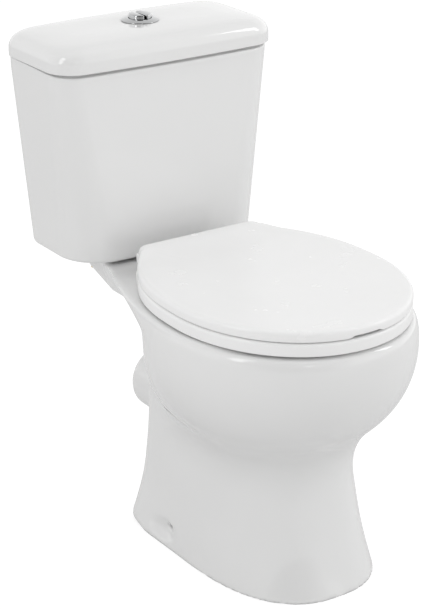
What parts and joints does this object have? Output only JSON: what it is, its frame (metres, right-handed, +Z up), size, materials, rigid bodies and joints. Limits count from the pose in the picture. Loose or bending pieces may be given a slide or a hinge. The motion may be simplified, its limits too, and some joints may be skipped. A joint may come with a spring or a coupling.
{
  "type": "close coupled toilet",
  "caption": "White close coupled toilet: china pan on a waisted pedestal, china cistern with a domed lid and chrome push button, plastic seat and cover.",
  "frame": {"origin": "on the floor, under the middle of the whole object's box", "axes": "+Z up, +X to the right of a person facing the toilet, -Y towards that person; the cistern's flat back is at +Y 0.330"},
  "size_m": [0.386, 0.66, 0.755],
  "materials": {
    "china": "gloss white vitreous china glaze",
    "seat": "gloss white moulded thermoset",
    "chrome": "polished chrome plate",
    "steel": "satin stainless steel",
    "brass": "turned brass",
    "rubber": "matt black rubber",
    "blue_plastic": "satin blue moulded plastic",
    "white_plastic": "satin white moulded plastic"
  },
  "bodies": {
    "china": {"pan": "china", "cistern_tank": "china", "cistern_lid": "china", "button_bezel": "chrome", "button_collar_nut": "white_plastic", "flush_valve_base": "white_plastic", "flush_valve_cage": "white_plastic", "flush_valve_head": "blue_plastic", "flush_valve_back_nut": "white_plastic", "doughnut_washer": "rubber", "fill_valve_body": "white_plastic", "fill_valve_head": "blue_plastic", "fill_valve_lever_pin": "steel", "fill_valve_washer": "rubber", "fill_valve_back_nut": "white_plastic", "coupling_bolt_left": "brass", "coupling_bolt_right": "brass", "coupling_bolt_seal_left": "rubber", "coupling_bolt_seal_right": "rubber", "coupling_bolt_washer_left": "steel", "coupling_bolt_washer_right": "steel", "cistern_support_pad_left": "rubber", "cistern_support_pad_right": "rubber", "coupling_lower_washer_left": "steel", "coupling_lower_washer_right": "steel", "coupling_wing_nut_left": "brass", "coupling_wing_nut_right": "brass", "hinge_post_left": "chrome", "hinge_post_right": "chrome", "hinge_gasket_left": "rubber", "hinge_gasket_right": "rubber", "hinge_stud_left": "steel", "hinge_stud_right": "steel", "hinge_wing_nut_left": "white_plastic", "hinge_wing_nut_right": "white_plastic", "hinge_pin_left": "steel", "hinge_pin_right": "steel"},
    "ring": {"seat_ring": "seat", "ring_buffer_rear_left": "rubber", "ring_buffer_front_left": "rubber", "ring_buffer_rear_right": "rubber", "ring_buffer_front_right": "rubber"},
    "cover": {"seat_cover": "seat", "cover_buffer_left": "rubber", "cover_buffer_right": "rubber"},
    "full_button": {"full_flush_button": "chrome", "full_flush_push_rod": "white_plastic", "full_flush_return_spring": "steel"},
    "half_button": {"half_flush_button": "chrome", "half_flush_push_rod": "white_plastic", "half_flush_return_spring": "steel"},
    "outlet_valve": {"flush_valve_overflow_tube": "white_plastic", "flush_valve_seal": "rubber"},
    "float": {"fill_valve_float": "white_plastic"},
    "float_lever": {"fill_valve_lever": "white_plastic"}
  },
  "joints": [
    {"name": "ring_hinge", "type": "hinge", "parent": "china", "child": "ring", "pos_m": [0, 0.082, 0.43], "axis": [-1, 0, 0], "range_deg": [0, 95]},
    {"name": "cover_hinge", "type": "hinge", "parent": "ring", "child": "cover", "pos_m": [0, 0.082, 0.43], "axis": [1, 0, 0], "range_deg": [-95, 0]},
    {"name": "full_button_press", "type": "slide", "parent": "china", "child": "full_button", "axis": [0, 0, -1], "range_m": [0, 0.006], "stiffness_N_per_m": 300, "springref_m": -0.005, "deforming": ["full_flush_return_spring"]},
    {"name": "half_button_press", "type": "slide", "parent": "china", "child": "half_button", "axis": [0, 0, -1], "range_m": [0, 0.006], "stiffness_N_per_m": 300, "springref_m": -0.005, "deforming": ["half_flush_return_spring"]},
    {"name": "outlet_valve_lift", "type": "slide", "parent": "china", "child": "outlet_valve", "axis": [0, 0, 1], "range_m": [0, 0.012]},
    {"name": "float_rise", "type": "slide", "parent": "china", "child": "float", "axis": [0, 0, 1], "range_m": [0, 0.016]},
    {"name": "float_lever_tilt", "type": "hinge", "parent": "china", "child": "float_lever", "pos_m": [0.111, 0.252, 0.628], "axis": [0, 1, 0], "range_deg": [0, 30.5]}
  ],
  "couplings": [
    {"joint": "outlet_valve_lift", "follows": "full_button_press", "ratio": 2},
    {"joint": "float_lever_tilt", "follows": "float_rise", "rad_per_m": 33}
  ]
}
